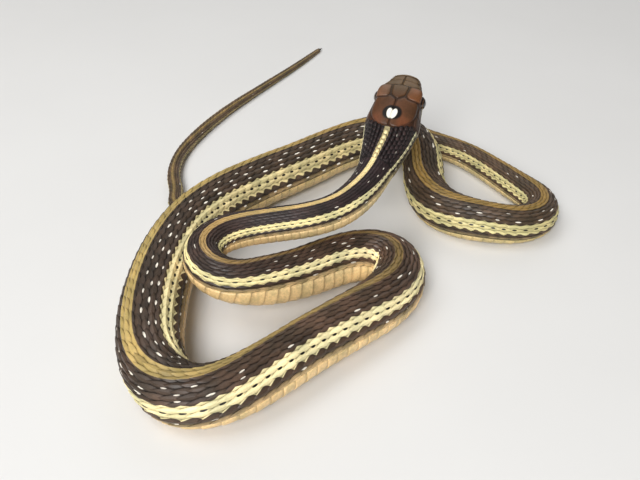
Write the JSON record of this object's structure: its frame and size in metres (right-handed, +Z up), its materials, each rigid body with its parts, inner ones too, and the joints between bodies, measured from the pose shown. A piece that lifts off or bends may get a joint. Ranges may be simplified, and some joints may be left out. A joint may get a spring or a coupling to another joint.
{
  "type": "garter snake",
  "caption": "Slender striped snake resting in loose coils on the floor, head raised over them, tail stretched out behind.",
  "frame": {"origin": "middle of the whole figure, on the floor it rests on", "axes": "+Z up from the floor, +Y towards the tip of the tail, away from the viewer of the picture, +X to the right"},
  "size_m": [0.0889, 0.1439, 0.0274],
  "materials": {
    "head_skin": "satin scales",
    "pale_skin": "satin scales",
    "body_skin": "satin keeled scales",
    "tail_skin": "satin keeled scales",
    "eye": "wet gloss"
  },
  "bodies": {
    "root": {"head": "head_skin", "lower_jaw": "pale_skin", "eye_left": "eye", "eye_right": "eye", "neck": "body_skin", "forebody": "body_skin", "bend_1_under_neck": "body_skin", "trunk_1_raised": "body_skin", "bend_2_right": "body_skin", "trunk_2_front": "body_skin", "bend_3_left_front": "body_skin", "trunk_3_left": "body_skin", "trunk_4_back": "body_skin", "bend_4_behind_neck": "body_skin", "trunk_5_right": "body_skin", "bend_5_far_right": "body_skin", "trunk_6_vent": "body_skin", "tail_1_root": "tail_skin", "tail_2_behind": "tail_skin", "tail_3_turn": "tail_skin", "tail_4": "tail_skin", "tail_5_tip": "tail_skin"}
  },
  "joints": []
}
